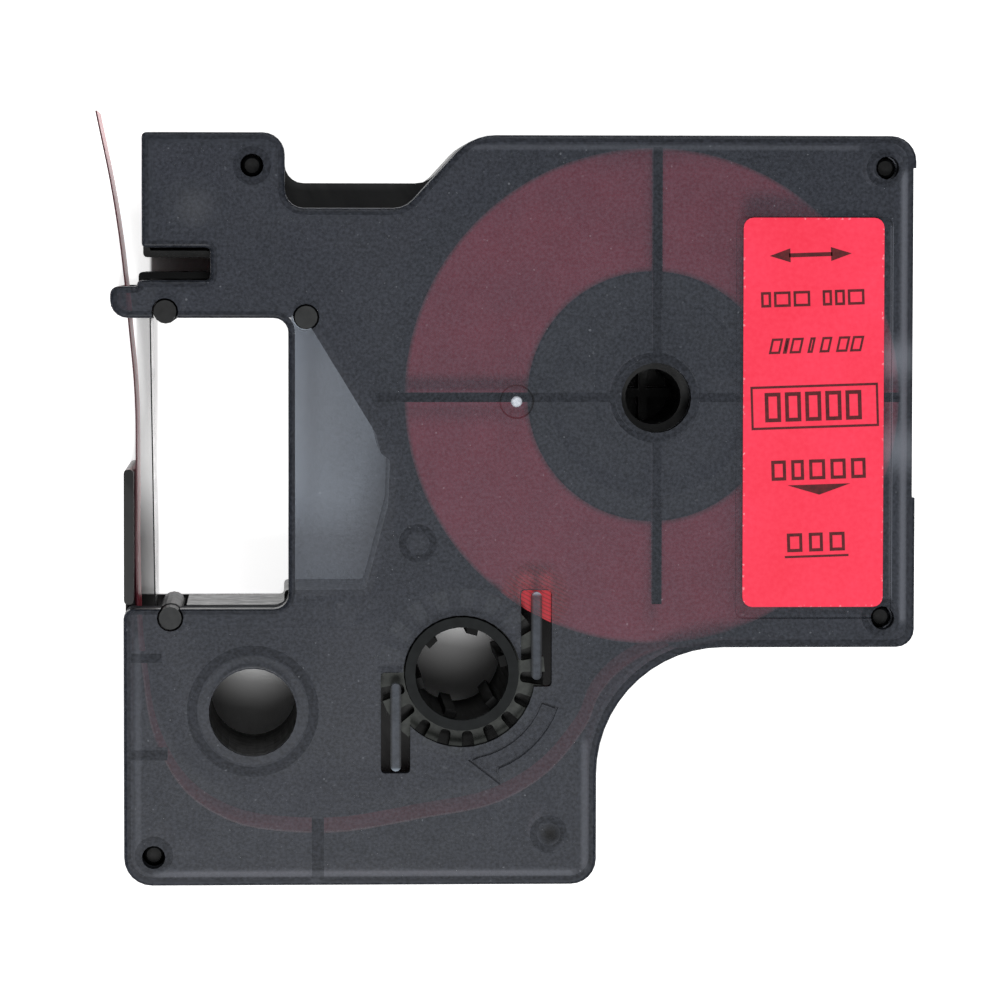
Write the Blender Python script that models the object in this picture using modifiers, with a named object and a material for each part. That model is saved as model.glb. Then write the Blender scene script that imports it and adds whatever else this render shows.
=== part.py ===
"""Label tape cassette: a two-part case holding a spool of red label tape wound together with its
black ink film, a splined take-up hub for the spent film, two sprung anti-reverse fingers, guide
posts, joining pins and an information label.

The cassette lies on its rear shell with the label up. Lengths are in millimetres, measured from the
lower left corner of the case and from its rear face, and MM turns them into metres. The empty named
case_corner puts that corner where the origin ends up under the middle of the whole object.
"""

import math

import bmesh
import bpy
from mathutils import Matrix, Vector

MM = 0.001

# Case, seen from the front
CASE_LEFT = 0.08
CASE_RIGHT = 59.4
CASE_TOP = 56.15
FOOT_RIGHT = 35.48
SHOULDER = 17.8
SHOULDER_SWEEP = 9.5
RAMP_TOP = 26.1
RAMP_SLOPE = 1.09
BLOCK_LEFT = 1.5
BLOCK_RIGHT = 12.15
BLOCK_TOP = 56.32
COVER_NOTCH_FLOOR = 50.7
REAR_NOTCH_FLOOR = 52.6
WINDOW_RIGHT = 12.4
WINDOW_BOTTOM = 20.78
WINDOW_TOP = 42.49
NOSE_LEFT = -0.86
NOSE_TOP = 44.85
NOSE_STEP = 1.15
SLOT_END = 6.6
COVER_SLOT = (45.3, 47.75)
REAR_SLOT = (45.9, 47.0)

# Case, seen from the side
CASE_DEPTH = 17.0
REAR_RIM = 12.42
COVER_RIM = 12.5
FLOOR = 1.2
COVER_SKIN = 15.8
WALL = 0.5
RIB_WIDTH = 0.7
OVERLAP = 0.4
EDGE_ROUND = 0.25

# Tape and film
TAPE_BOTTOM = 4.0
TAPE_TOP = 13.0
TAPE_THICKNESS = 0.12
FILM_THICKNESS = 0.1
ROLL_RADIUS = 18.75
ROLL_GAP = 0.2
CORE_RADIUS = 9.35
LEADER_TIP = (-2.0, 58.0)
FILM_GAP = 0.25

# Turning parts
SPOOL = (39.9, 36.55)
HUB = (25.38, 15.85)
HUB_BORE = 3.5
HUB_RING = 4.27
HUB_BARREL = 4.6
WHEEL_RADIUS = 6.3
WHEEL_THICKNESS = 1.6
WHEEL_FOOT = TAPE_TOP + 0.6
TOOTH_COUNT = 18
FIRST_GAP = math.radians(-4.5)
SPLINE_TIP = 2.95
SPLINE_COUNT = 6
FIRST_SPLINE = math.radians(15)
SPENT_FILM_RADIUS = 5.5
ANNULUS = 5.5

# Fixed bore for the machine's locating post
BORE = (9.73, 13.0)
BORE_RADIUS = 3.3

# Guide posts: barrel radius, and the places of the four posts
POST_RADIUS = 0.95
POST_END_RADIUS = 0.85
POSTS = {
    "upper_inner_guide_post": (13.72, 42.56),
    "upper_outer_guide_post": (3.22, 42.98),
    "lower_outer_guide_post": (3.57, 20.09),
    "takeup_guide_post": (16.7, 20.2),
}

# Joining pins: places, and whether the pin's hole goes right through the cover
PIN_RADIUS = 0.7
PIN_BOSS = 1.45
PIN_HOLE = 0.88
PINS = [
    (9.7, 53.86, True),
    (57.2, 53.75, True),
    (57.0, 20.0, True),
    (2.3, 2.15, True),
    (31.98, 3.64, False),
    (22.1, 25.6, False),
]

# Anti-reverse fingers: place of the hinge at the root, and the way from root to tip
FINGER_LENGTH = 6.2
FINGER_WIDTH = 0.8
FINGERS = {
    "left_reverse_stop": (20.42, 8.95, 1),
    "right_reverse_stop": (30.98, 21.6, -1),
}

LABEL_LEFT = 46.43
LABEL_BOTTOM = 20.85
LABEL_SIZE = (10.57, 29.18)
GATE = (29.45, 36.26)
GRIP = (29.05, 53.75)
GRIP_DEPTH = 0.25
SENSOR_HOLE = (5.2, 50.85)

# Turn arrow in the front cover: radii about the hub's axis, and the width of its sunk outline
ARROW_INNER = 6.25
ARROW_OUTER = 7.65
ARROW_BARB = 8.85
ARROW_POINT = 6.5
ARROW_LINE = 0.18

CHORD_ERROR = 0.02

case = bpy.data.collections.new("label_tape_cassette")
cutters = bpy.data.collections.new("cutters")


def clear_scene():
    for obj in list(bpy.data.objects):
        bpy.data.objects.remove(obj)
    bpy.context.scene.collection.children.link(case)
    bpy.context.scene.collection.children.link(cutters)


# ---------------------------------------------------------------- outlines


def arc(centre, radius, start, sweep):
    """Points along an arc, spaced so that no chord strays further than CHORD_ERROR."""
    step = 2 * math.acos(1 - min(CHORD_ERROR / radius, 0.3))
    count = max(2, math.ceil(abs(sweep) / step))
    angles = [start + sweep * i / count for i in range(count + 1)]
    return [Vector((centre[0] + radius * math.cos(a), centre[1] + radius * math.sin(a))) for a in angles]


def circle(centre, radius):
    return arc(centre, radius, 0, math.tau)[:-1]


def rounded(corners):
    """A closed outline from (x, y, radius) corners, with each corner turned into an arc."""
    points = []
    for i, (x, y, radius) in enumerate(corners):
        corner = Vector((x, y))
        back = (Vector(corners[i - 1][:2]) - corner).normalized()
        ahead = (Vector(corners[(i + 1) % len(corners)][:2]) - corner).normalized()
        if radius == 0:
            points.append(corner)
            continue
        half = back.angle(ahead) / 2
        centre = corner + (back + ahead).normalized() * radius / math.sin(half)
        first = corner + back * radius / math.tan(half) - centre
        last = corner + ahead * radius / math.tan(half) - centre
        start = math.atan2(first.y, first.x)
        sweep = (math.atan2(last.y, last.x) - start + math.pi) % math.tau - math.pi
        points += arc(centre, radius, start, sweep)
    return points


def inset(corners, depth):
    """The anticlockwise outline moved inwards: convex corners tighten and hollow ones widen."""
    moved = []
    for i, (x, y, radius) in enumerate(corners):
        corner = Vector((x, y))
        into = (corner - Vector(corners[i - 1][:2])).normalized()
        out = (Vector(corners[(i + 1) % len(corners)][:2]) - corner).normalized()
        sides = Vector((-into.y, into.x)) + Vector((-out.y, out.x))
        place = corner + sides * depth / (1 + into.dot(out))
        convex = into.x * out.y - into.y * out.x > 0
        moved.append((place.x, place.y, max(radius - depth, 0.12) if convex else radius + depth))
    return moved


def shrunk(points, depth):
    """An anticlockwise outline with every point moved inwards by depth, square to its two sides."""
    moved = []
    for i, point in enumerate(points):
        into = (point - points[i - 1]).normalized()
        out = (points[(i + 1) % len(points)] - point).normalized()
        sides = Vector((-into.y, into.x)) + Vector((-out.y, out.x))
        moved.append(point + sides * depth / (1 + into.dot(out)))
    return moved


def box_outline(left, bottom, right, top, radius=0):
    places = ((left, bottom), (right, bottom), (right, top), (left, top))
    return rounded([(x, y, radius) for x, y in places])


def case_corners(notch_floor, slot, head_space):
    """Corners of the case, anticlockwise from the lower left, with the space for the print head last."""
    ramp_foot = RAMP_TOP - (CASE_TOP - notch_floor) / RAMP_SLOPE
    return [
        (CASE_LEFT, 0, 2.1),
        (FOOT_RIGHT, 0, 1.9),
        (FOOT_RIGHT, SHOULDER, SHOULDER_SWEEP),
        (CASE_RIGHT, SHOULDER, 1.35),
        (CASE_RIGHT, CASE_TOP, 1.9),
        (RAMP_TOP, CASE_TOP, 4.0),
        (ramp_foot, notch_floor, 2.0),
        (BLOCK_RIGHT, notch_floor, 1.4),
        (BLOCK_RIGHT, BLOCK_TOP, 1.65),
        (BLOCK_LEFT, BLOCK_TOP, 0.35),
        (BLOCK_LEFT, slot[1], 0.3),
        (SLOT_END, slot[1], 0.35),
        (SLOT_END, slot[0], 0.35),
        (NOSE_STEP, slot[0], 0.3),
        (NOSE_STEP, NOSE_TOP, 0.1),
        (NOSE_LEFT, NOSE_TOP, 0.6),
        (NOSE_LEFT, WINDOW_TOP, 1.3),
    ] + head_space


COVER_WINDOW = [
    (WINDOW_RIGHT, WINDOW_TOP, 1.1),
    (WINDOW_RIGHT, WINDOW_BOTTOM, 1.1),
    (CASE_LEFT, WINDOW_BOTTOM, 0.75),
]
HEAD_CAVITY = [
    (12.9, WINDOW_TOP, 0.3),
    (14.2, 41.6, 0.4),
    (19.0, 33.75, 0.3),
    (19.4, 32.2, 0.3),
    (20.1, 31.7, 0.3),
    (19.95, 28.3, 1.0),
    (18.25, 21.9, 0.3),
    (12.1, 21.9, 0.3),
    (12.1, WINDOW_BOTTOM, 0.3),
    (CASE_LEFT, WINDOW_BOTTOM, 0.75),
]


# ---------------------------------------------------------------- shapes


def plain_material(name, colour, roughness=0.4, alpha=1.0, metallic=0.0):
    material = bpy.data.materials.get(name) or bpy.data.materials.new(name)
    material.use_nodes = True
    shader = material.node_tree.nodes["Principled BSDF"]
    shader.inputs["Base Color"].default_value = (*colour, 1)
    shader.inputs["Roughness"].default_value = roughness
    shader.inputs["Metallic"].default_value = metallic
    shader.inputs["Alpha"].default_value = alpha
    return material


def add_object(name, mesh, place=(0, 0), collection=case):
    obj = bpy.data.objects.new(name, mesh)
    obj.location = (place[0] * MM, place[1] * MM, 0)
    collection.objects.link(obj)
    return obj


def mesh_of_curve(curve):
    """A curve's mesh, with its loose caps welded on, and the curve removed."""
    source = bpy.data.objects.new("outline", curve)
    cutters.objects.link(source)
    bpy.context.view_layer.update()
    evaluated = source.evaluated_get(bpy.context.evaluated_depsgraph_get())
    mesh = bpy.data.meshes.new_from_object(evaluated)
    bpy.data.objects.remove(source)
    bpy.data.curves.remove(curve)
    shape = bmesh.new()
    shape.from_mesh(mesh)
    bmesh.ops.remove_doubles(shape, verts=shape.verts, dist=1e-7)
    bmesh.ops.recalc_face_normals(shape, faces=shape.faces)
    shape.to_mesh(mesh)
    shape.free()
    return mesh


def plate_mesh(outlines, bottom, top, place=(0, 0)):
    """A flat piece between two heights: the first outline is its edge and the others are holes."""
    curve = bpy.data.curves.new("plate", "CURVE")
    curve.dimensions = "2D"
    curve.fill_mode = "BOTH"
    curve.extrude = (top - bottom) / 2 * MM
    for outline in outlines:
        spline = curve.splines.new("POLY")
        spline.points.add(len(outline) - 1)
        spline.use_cyclic_u = True
        for point, target in zip(outline, spline.points):
            target.co = ((point[0] - place[0]) * MM, (point[1] - place[1]) * MM, 0, 1)
    mesh = mesh_of_curve(curve)
    for vertex in mesh.vertices:
        vertex.co.z += (top + bottom) / 2 * MM
    return mesh


def eased_block(name, outline, bottom, top, front):
    """A block whose front edge, or else its rear edge, is rounded over by EDGE_ROUND in three steps."""
    levels = []
    for step in range(4):
        angle = math.radians(30) * step
        levels.append((EDGE_ROUND * (1 - math.cos(angle)), EDGE_ROUND * (1 - math.sin(angle))))
    if front:
        rings = [(0, bottom)] + [(depth, top - fall) for depth, fall in levels]
    else:
        rings = [(depth, bottom + fall) for depth, fall in levels[::-1]] + [(0, top)]
    shape = bmesh.new()
    made = []
    for depth, height in rings:
        made.append([shape.verts.new((x * MM, y * MM, height * MM)) for x, y in shrunk(outline, depth)])
    shape.faces.new(made[0][::-1])
    shape.faces.new(made[-1])
    for lower, upper in zip(made, made[1:]):
        for i in range(len(lower)):
            shape.faces.new((lower[i - 1], lower[i], upper[i], upper[i - 1]))
    mesh = bpy.data.meshes.new(name)
    shape.to_mesh(mesh)
    shape.free()
    return add_object(name, mesh)


def plate(name, outlines, bottom, top, place=(0, 0), collection=case):
    return add_object(name, plate_mesh(outlines, bottom, top, place), place, collection)


def turned(name, place, profile, collection=case):
    """A turned piece. The profile of (radius, height) starts at the outer side's top and runs down."""
    mesh = bpy.data.meshes.new(name)
    shape = bmesh.new()
    points = [shape.verts.new((radius * MM, 0, height * MM)) for radius, height in profile]
    solid = profile[0][0] == 0
    for i in range(len(points) - 1 if solid else len(points)):
        shape.edges.new((points[i], points[(i + 1) % len(points)]))
    shape.to_mesh(mesh)
    shape.free()
    obj = add_object(name, mesh, place, collection)
    widest = max(radius for radius, _ in profile)
    screw = obj.modifiers.new("turn", "SCREW")
    screw.steps = max(16, math.ceil(math.pi / math.acos(1 - CHORD_ERROR / widest)))
    screw.render_steps = screw.steps
    screw.use_merge_vertices = True
    screw.merge_threshold = 1e-6
    screw.use_smooth_shade = False
    return obj


def boxes(name, sizes, place=(0, 0), collection=cutters):
    """Upright boxes of one mesh: each is (centre x, centre y, low z, high z, length, width, angle)."""
    mesh = bpy.data.meshes.new(name)
    shape = bmesh.new()
    for x, y, low, high, length, width, angle in sizes:
        made = bmesh.ops.create_cube(shape, size=MM)["verts"]
        bmesh.ops.scale(shape, vec=(length, width, high - low), verts=made)
        bmesh.ops.rotate(shape, cent=(0, 0, 0), matrix=Matrix.Rotation(angle, 3, "Z"), verts=made)
        centre = Vector((x - place[0], y - place[1], (low + high) / 2)) * MM
        bmesh.ops.translate(shape, vec=centre, verts=made)
    shape.to_mesh(mesh)
    shape.free()
    return add_object(name, mesh, place, collection)


def combine(target, other, operation):
    other.hide_render = True
    other.display_type = "WIRE"
    modifier = target.modifiers.new(f"{operation.lower()} {other.name}", "BOOLEAN")
    modifier.operation = operation
    modifier.object = other


def add(target, *others):
    for other in others:
        combine(target, other, "UNION")


def cut(target, *others):
    for other in others:
        combine(target, other, "DIFFERENCE")


def helper_plate(name, outline, bottom, top):
    return plate(name, [outline], bottom, top, collection=cutters)


def helper_disc(name, centre, radius, bottom, top):
    return helper_plate(name, circle(centre, radius), bottom, top)


# ---------------------------------------------------------------- case


def rear_shell():
    corners = case_corners(REAR_NOTCH_FLOOR, REAR_SLOT, HEAD_CAVITY)
    pocket = inset(case_corners(COVER_NOTCH_FLOOR, REAR_SLOT, HEAD_CAVITY), WALL)
    shell = eased_block("rear_shell", rounded(corners), 0, REAR_RIM, front=False)
    cut(shell, helper_plate("rear_pocket", rounded(pocket), FLOOR, REAR_RIM + 1))
    cut(shell, helper_disc("rear_roll_room", SPOOL, ROLL_RADIUS + ROLL_GAP, FLOOR, REAR_RIM + 1))

    for number, (x, y, _) in enumerate(PINS, 1):
        add(shell, helper_disc(f"rear_pin_boss_{number}", (x, y), PIN_BOSS, FLOOR - OVERLAP, REAR_RIM))
    add(
        shell,
        helper_disc("bore_tube", BORE, BORE_RADIUS + 0.75, FLOOR - OVERLAP, COVER_SKIN - 0.3),
        helper_disc("spool_rest", SPOOL, 4.3, FLOOR - OVERLAP, TAPE_BOTTOM - 0.4),
        helper_disc("spool_pin", SPOOL, 2.75, FLOOR, TAPE_TOP + 0.6),
        helper_disc("sensor_tube", SENSOR_HOLE, 2.3, FLOOR - OVERLAP, REAR_RIM),
        helper_plate("tape_guard_foot", box_outline(0.12, 20.0, 0.85, 21.6), FLOOR - OVERLAP, REAR_RIM),
        helper_plate("tape_guard", box_outline(0.12, 21.1, 0.85, 31.2, 0.3), 0, CASE_DEPTH - 0.2),
        *bars("rear_rib", rib_boxes(FLOOR - OVERLAP, TAPE_BOTTOM - 0.9)),
    )
    for name, (x, y) in POSTS.items():
        socket = helper_disc(f"{name}_socket", (x, y), POST_END_RADIUS + 0.05, 0.5, FLOOR + 1)
        room = helper_disc(f"{name}_rear_room", (x, y), POST_RADIUS + 0.12, FLOOR, REAR_RIM + 1)
        cut(shell, socket, room)
    for number, (x, y, _) in enumerate(PINS, 1):
        cut(shell, helper_disc(f"rear_pin_hole_{number}", (x, y), PIN_RADIUS + 0.08, 2.0, REAR_RIM + 1))
    cut(
        shell,
        helper_disc("bore_hole", BORE, BORE_RADIUS, -1, CASE_DEPTH),
        helper_disc("hub_hole", HUB, 4.2, -1, FLOOR + 1),
        helper_disc("sensor_bore", SENSOR_HOLE, 1.65, -1, CASE_DEPTH),
        helper_disc("spool_pin_bore", SPOOL, 2.1, FLOOR, CASE_DEPTH),
        *mouths("rear", FLOOR, CASE_DEPTH),
        helper_plate("slot_end", box_outline(1.0, REAR_SLOT[0], 2.7, REAR_SLOT[1]), -1, CASE_DEPTH),
    )
    cut(shell, helper_plate("rear_grip", grip_outline(), -1, CASE_DEPTH))
    add(shell, *bars("spool_pin_cross", cross_boxes()))
    return shell


def grip_outline():
    """A shallow grip sunk in the right side of both halves."""
    return box_outline(CASE_RIGHT - GRIP_DEPTH, GRIP[0], CASE_RIGHT + 1, GRIP[1])


def mouths(half, low, high):
    """Openings that let the tape and the film through the walls above and below the window."""
    return [
        helper_plate(f"{half}_tape_mouth", box_outline(0.88, 19.6, 4.72, 21.4), low, high),
        helper_plate(f"{half}_arm_mouth", box_outline(0.05, 42.0, 4.5, 43.4), low, high),
        helper_plate(f"{half}_nose_mouth", box_outline(-0.1, 44.0, 0.8, 45.6), low, high),
    ]


def bars(name, sizes):
    """One helper for each box, because a Boolean can't read boxes that cross in one mesh."""
    return [boxes(f"{name}_{number}", [size]) for number, size in enumerate(sizes, 1)]


def tape_edge_rib_boxes(low, high):
    """Short ribs under the cover, over the tape's upper edge."""
    return [
        (14.6, 2.6, low, high, 0.9, 4.6, 0),
        (1.95, 9.7, low, high, 2.7, 0.75, 0),
        (1.75, 17.0, low, high, 2.3, 0.7, 0),
    ]


def rib_boxes(low, high):
    """The upright and level ribs that cross under the spool, kept clear of the outer walls."""
    left, bottom, right, top = 18.9, 21.0, 58.4, 55.3
    return [
        (SPOOL[0] + 0.18, (bottom + top) / 2, low, high, RIB_WIDTH, top - bottom, 0),
        ((left + right) / 2, SPOOL[1], low, high, right - left, RIB_WIDTH, 0),
    ]


def cross_boxes():
    """Two crossed bars on the floor of the hollow spool pin."""
    return [(*SPOOL, FLOOR - OVERLAP, 3.1, 4.4, RIB_WIDTH, math.radians(90) * turn) for turn in (0, 1)]


def front_cover():
    corners = case_corners(COVER_NOTCH_FLOOR, COVER_SLOT, COVER_WINDOW)
    cover = eased_block("front_cover", rounded(corners), COVER_RIM, CASE_DEPTH, front=True)
    cut(cover, helper_plate("cover_pocket", rounded(inset(corners, WALL)), COVER_RIM - 1, COVER_SKIN))
    cut(cover, helper_disc("cover_roll_room", SPOOL, ROLL_RADIUS + ROLL_GAP, COVER_RIM - 1, COVER_SKIN))

    skin = COVER_SKIN + OVERLAP
    for number, (x, y, _) in enumerate(PINS, 1):
        add(cover, helper_disc(f"cover_pin_boss_{number}", (x, y), PIN_BOSS, COVER_RIM, skin))
    add(
        cover,
        *bars("cover_rib", rib_boxes(COVER_SKIN - 1.0, skin)),
        *bars("tape_edge_rib", tape_edge_rib_boxes(TAPE_TOP + 0.4, skin)),
        helper_disc("spool_collar", SPOOL, 3.4, TAPE_TOP + 1.0, skin),
        helper_disc("bore_collar", BORE, BORE_RADIUS + 1.65, TAPE_TOP + 0.5, skin),
    )
    cut(cover, helper_disc("bore_collar_socket", BORE, BORE_RADIUS + 0.9, COVER_RIM, COVER_SKIN))
    cut(cover, helper_disc("spool_collar_socket", SPOOL, 2.95, COVER_RIM, COVER_SKIN - 0.3))
    room = POST_RADIUS + 0.12
    for name, (x, y) in POSTS.items():
        cut(cover, helper_disc(f"{name}_cover_room", (x, y), room, COVER_RIM - 1, TAPE_TOP + 1.3))
        if name != "takeup_guide_post":
            hole = helper_disc(f"{name}_hole", (x, y), POST_END_RADIUS + 0.15, COVER_RIM, CASE_DEPTH + 1)
            cut(cover, hole)
    for number, (x, y, open_hole) in enumerate(PINS, 1):
        top = CASE_DEPTH + 1 if open_hole else COVER_SKIN
        cut(cover, helper_disc(f"cover_pin_hole_{number}", (x, y), PIN_HOLE, COVER_RIM - 1, top))
    over = CASE_DEPTH + 1
    label_recess = box_outline(45.9, 19.95, 57.6, 50.12, 0.6)
    cut(
        cover,
        *mouths("cover", COVER_RIM - 1, TAPE_TOP + 0.4),
        helper_disc("cover_bore", BORE, BORE_RADIUS, COVER_RIM, over),
        helper_disc("spool_window", SPOOL, 2.62, COVER_RIM, over),
        helper_plate("hub_opening", hub_opening_outline(), COVER_RIM, over),
        helper_plate("left_finger_slot", box_outline(19.3, 8.4, 21.5, 16.0, 0.3), COVER_RIM, over),
        helper_plate("right_finger_slot", box_outline(29.8, 14.9, 32.1, 22.15, 0.3), COVER_RIM, over),
        helper_plate("label_recess", label_recess, CASE_DEPTH - 0.3, over),
        helper_disc("gate_recess", GATE, 1.28, CASE_DEPTH - 0.25, over),
        helper_plate("turn_arrow", arrow_outline(), CASE_DEPTH - 0.35, over),
        helper_plate("cover_grip", grip_outline(), COVER_RIM - 1, over),
    )
    face = shrunk(arrow_outline(), ARROW_LINE)
    add(cover, helper_plate("arrow_face", face, CASE_DEPTH - 0.35 - OVERLAP, CASE_DEPTH - 0.06))
    return cover


def hub_opening_outline():
    """The hub's ring passes a round hole, whose lower half widens so that the ratchet teeth show."""
    widened = arc(HUB, ANNULUS, math.radians(-176), math.radians(190))
    return widened + arc(HUB, HUB_RING + 0.15, math.radians(14), math.radians(170))


def arrow_outline():
    """A curved arrow below right of the hub, pointing the way the hub turns."""
    tail, notch, barb, point, inner_end = (math.radians(a) for a in (-19, -69, -71, -86, -79))
    outer_side = arc(HUB, ARROW_OUTER, notch, tail - notch)
    inner_side = arc(HUB, ARROW_INNER, tail, inner_end - tail)
    return outer_side + inner_side + [polar(HUB, ARROW_POINT, point), polar(HUB, ARROW_BARB, barb)]


def polar(centre, radius, angle):
    return Vector((centre[0] + radius * math.cos(angle), centre[1] + radius * math.sin(angle)))


def info_label():
    right, top = LABEL_LEFT + LABEL_SIZE[0], LABEL_BOTTOM + LABEL_SIZE[1]
    outline = box_outline(LABEL_LEFT, LABEL_BOTTOM, right, top, 0.75)
    return plate("info_label", [outline], CASE_DEPTH - 0.25, CASE_DEPTH - 0.1)


def guide_post(name, place):
    """A stepped post: its foot sits in the rear floor and its upper end in the front cover."""
    top = CASE_DEPTH - 0.1
    if name == "takeup_guide_post":
        top = COVER_SKIN - 0.15
    profile = [
        (0, top),
        (POST_END_RADIUS, top),
        (POST_END_RADIUS, TAPE_TOP + 1.2),
        (POST_RADIUS, TAPE_TOP + 1.0),
        (POST_RADIUS, FLOOR + 0.1),
        (POST_END_RADIUS, FLOOR + 0.1),
        (POST_END_RADIUS, 0.6),
        (0, 0.6),
    ]
    return turned(name, place, profile)


def joining_pin(number, place, open_hole):
    top = COVER_SKIN - 0.4 if open_hole else COVER_SKIN - 0.8
    profile = [(0, top), (PIN_RADIUS - 0.15, top), (PIN_RADIUS, top - 0.15), (PIN_RADIUS, 2.1), (0, 2.1)]
    return turned(f"joining_pin_{number}", place, profile)


# ---------------------------------------------------------------- spool, tape and film


def tape_core():
    """An H-section core: an outer rim and a hub joined by a web."""
    low, high = TAPE_BOTTOM, TAPE_TOP
    profile = [
        (CORE_RADIUS, high),
        (CORE_RADIUS, low),
        (7.6, low),
        (7.6, low + 3.6),
        (4.2, low + 3.6),
        (4.2, low),
        (3.0, low),
        (3.0, high),
        (4.2, high),
        (4.2, high - 3.6),
        (7.6, high - 3.6),
        (7.6, high),
    ]
    return turned("tape_core", SPOOL, profile)


def tape_roll():
    rings = [circle(SPOOL, ROLL_RADIUS), circle(SPOOL, CORE_RADIUS + 0.1)]
    return plate("tape_roll", rings, TAPE_BOTTOM, TAPE_TOP, SPOOL)


def film(name, points, thickness, smooth):
    """A standing film along a line of points: a curve extruded upwards and thickened."""
    curve = bpy.data.curves.new(name, "CURVE")
    curve.dimensions = "2D"
    curve.fill_mode = "NONE"
    curve.resolution_u = 5
    curve.extrude = (TAPE_TOP - TAPE_BOTTOM) / 2 * MM
    spline = curve.splines.new("BEZIER" if smooth else "POLY")
    targets = spline.bezier_points if smooth else spline.points
    targets.add(len(points) - 1)
    for point, target in zip(points, targets):
        place = (point[0] * MM, point[1] * MM, 0)
        target.co = place if smooth else (*place, 1)
        if smooth:
            target.handle_left_type = "AUTO"
            target.handle_right_type = "AUTO"
    mesh = mesh_of_curve(curve)
    for vertex in mesh.vertices:
        vertex.co.z += (TAPE_TOP + TAPE_BOTTOM) / 2 * MM
    obj = add_object(name, mesh)
    thicken = obj.modifiers.new("thickness", "SOLIDIFY")
    thicken.thickness = thickness * MM
    thicken.offset = 0
    thicken.use_even_offset = True
    return obj


def tape_web():
    """The tape from the foot of the roll, along the lower case and past the window to its free tip."""
    line = [
        (41.2, 17.7),
        (38.3, 16.35),
        (36.0, 14.1),
        (34.8, 11.4),
        (29.9, 6.6),
        (22.4, 4.6),
        (13.0, 3.6),
        (6.4, 5.3),
        (3.0, 9.2),
        (1.35, 16.5),
        (1.0, 22.5),
        (0.97, 31.2),
        (0.9, 36.6),
        (0.4, 42.4),
        (0.18, 44.9),
        (-0.7, 51.5),
        LEADER_TIP,
    ]
    return film("tape_web", line, TAPE_THICKNESS, True)


def belt_path(rollers):
    """The line of a film round (x, y, radius, turn) rollers, turn being 1 for anticlockwise."""
    points = []
    incoming = None
    for here, following in zip(rollers, rollers[1:]):
        first, second = here[2] * here[3], following[2] * following[3]
        way = Vector(following[:2]) - Vector(here[:2])
        heading = math.atan2(way.y, way.x) + math.asin((first - second) / way.length)
        if incoming is None:
            points.append(Vector(here[:2]) + first * Vector((math.sin(heading), -math.cos(heading))))
        else:
            start = incoming - math.pi / 2
            sweep = (heading - incoming + math.pi) % math.tau - math.pi
            points += arc(here[:2], here[2], start, sweep)
        incoming = heading
    last = rollers[-1]
    points.append(Vector(last[:2]) + last[2] * last[3] * Vector((math.sin(incoming), -math.cos(incoming))))
    return points


def ink_film():
    """The black film from the roll, round the guide posts and past the window to the take-up hub."""
    clear = POST_RADIUS + FILM_GAP
    rollers = [
        (*SPOOL, ROLL_RADIUS + FILM_GAP, -1),
        (*POSTS["upper_inner_guide_post"], clear, 1),
        (*POSTS["upper_outer_guide_post"], clear, 1),
        (*POSTS["lower_outer_guide_post"], clear, 1),
        (*POSTS["takeup_guide_post"], clear, 1),
        (*HUB, SPENT_FILM_RADIUS + FILM_GAP, -1),
    ]
    return film("ink_film", belt_path(rollers), FILM_THICKNESS, False)


def takeup_hub():
    """A splined tube with a shoulder that the ratchet wheel sits on; its ring shows in the cover."""
    profile = [
        (HUB_RING, CASE_DEPTH - 0.2),
        (HUB_RING, WHEEL_FOOT - 0.05),
        (HUB_BARREL, WHEEL_FOOT - 0.05),
        (HUB_BARREL, FLOOR + 0.3),
        (4.0, FLOOR + 0.3),
        (4.0, 0.3),
        (HUB_BORE, 0.3),
        (HUB_BORE, CASE_DEPTH - 0.2),
    ]
    hub = turned("takeup_hub", HUB, profile)
    splines = []
    for i in range(SPLINE_COUNT):
        angle = FIRST_SPLINE + math.tau * i / SPLINE_COUNT
        middle = polar(HUB, (SPLINE_TIP + HUB_BORE + 0.2) / 2, angle)
        splines.append((*middle, 1.0, CASE_DEPTH - 1.7, HUB_BORE + 0.2 - SPLINE_TIP, 0.85, angle))
    add(hub, boxes("hub_splines", splines))
    return hub


def ratchet_wheel():
    """A wheel round the hub's ring, whose teeth are divided by gaps with a thin floor."""
    high = WHEEL_FOOT + WHEEL_THICKNESS
    rings = [circle(HUB, WHEEL_RADIUS), circle(HUB, HUB_RING + 0.05)]
    wheel = plate("ratchet_wheel", rings, WHEEL_FOOT, high, HUB)
    gaps = [tooth_gap(FIRST_GAP + math.tau * i / TOOTH_COUNT) for i in range(TOOTH_COUNT)]
    cut(wheel, plate("tooth_gaps", gaps, WHEEL_FOOT + 0.3, high + 1, collection=cutters))
    return wheel


def tooth_gap(angle):
    """The gap between two ratchet teeth: round at its inner end and wider towards the rim."""
    inner_half, outer_half, start = 0.38, 0.56, HUB_RING + 0.18
    corners = rounded(
        [
            (start, -inner_half, 0.3),
            (WHEEL_RADIUS + 0.5, -outer_half, 0),
            (WHEEL_RADIUS + 0.5, outer_half, 0),
            (start, inner_half, 0.3),
        ]
    )
    turn = Matrix.Rotation(angle, 2)
    return [Vector(HUB) + turn @ point for point in corners]


def spent_film():
    rings = [circle(HUB, SPENT_FILM_RADIUS), circle(HUB, HUB_BARREL + 0.1)]
    return plate("spent_film_roll", rings, TAPE_BOTTOM, TAPE_TOP, HUB)


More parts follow.
